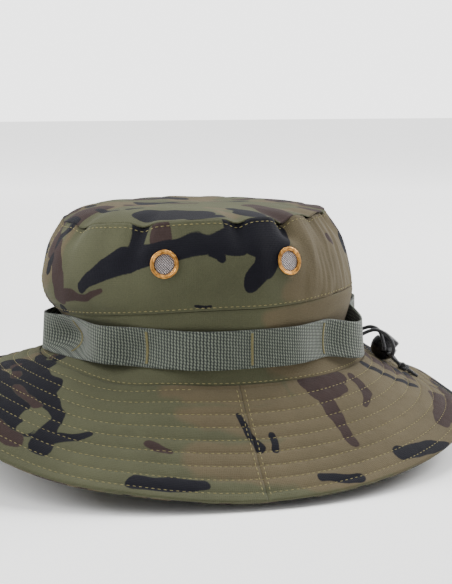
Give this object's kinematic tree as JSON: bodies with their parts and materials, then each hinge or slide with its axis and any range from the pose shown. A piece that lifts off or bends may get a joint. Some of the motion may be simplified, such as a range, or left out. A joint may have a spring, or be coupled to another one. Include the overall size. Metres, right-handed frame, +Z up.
{
  "type": "boonie hat",
  "caption": "Wide-brimmed cloth sun hat with stitched drooping brim, webbing loop band, screened side vents and a rear drawcord with sliding spring cord lock.",
  "frame": {"origin": "centre of the head opening, near the mean height of the seam between crown and brim", "axes": "+Z up through the crown, -Y to the front of the hat, +Y to the drawcord at the back, +X to the wearer's left"},
  "size_m": [0.2956, 0.3572, 0.1545],
  "materials": {
    "camouflage_cloth": "matt cotton blend printed with four-colour woodland camouflage",
    "lining_cloth": "plain olive cotton",
    "interlining": "plain undyed stiffening cloth",
    "webbing": "ribbed grey-green nylon webbing",
    "thread": "khaki sewing thread",
    "brass": "lightly tarnished brass",
    "mesh": "fine woven wire",
    "thread_eyelet": "closely sewn olive thread",
    "cord": "round braided black cord",
    "black_plastic": "satin black plastic",
    "spring_steel": "bright spring steel"
  },
  "bodies": {
    "hat": {"bartacks": "thread", "base_band": "camouflage_cloth", "brim_interlining": "interlining", "brim_top_front": "camouflage_cloth", "brim_top_rear": "camouflage_cloth", "brim_under_front": "camouflage_cloth", "brim_under_rear": "camouflage_cloth", "cord_eyelet_left": "thread_eyelet", "cord_eyelet_right": "thread_eyelet", "cord_knot": "cord", "crown_wall_left": "camouflage_cloth", "crown_wall_right": "camouflage_cloth", "drawcord_left": "cord", "drawcord_right": "cord", "drawcord_tunnel": "cord", "foliage_webbing": "webbing", "sweatband": "lining_cloth", "top_panel": "camouflage_cloth", "vent_flange_left_front": "brass", "vent_flange_left_rear": "brass", "vent_flange_right_front": "brass", "vent_flange_right_rear": "brass", "vent_screen_left_front": "mesh", "vent_screen_left_rear": "mesh", "vent_screen_right_front": "mesh", "vent_screen_right_rear": "mesh", "vent_washer_left_front": "brass", "vent_washer_left_rear": "brass", "vent_washer_right_front": "brass", "vent_washer_right_rear": "brass"},
    "cord_lock": {"cord_lock_body": "black_plastic", "cord_lock_spring": "spring_steel"},
    "plunger": {"cord_lock_plunger": "black_plastic"}
  },
  "joints": [
    {"name": "cord_lock_slide", "type": "slide", "parent": "hat", "child": "cord_lock", "axis": [0, 0.8561, -0.5169], "range_m": [-0.006, 0.007], "deforming": ["drawcord_left", "drawcord_right"]},
    {"name": "cord_lock_press", "type": "slide", "parent": "cord_lock", "child": "plunger", "axis": [-0.1539, -0.6164, -0.7723], "range_m": [0, 0.002], "stiffness_N_per_m": 400, "springref_m": -0.003, "deforming": ["cord_lock_spring"]}
  ]
}
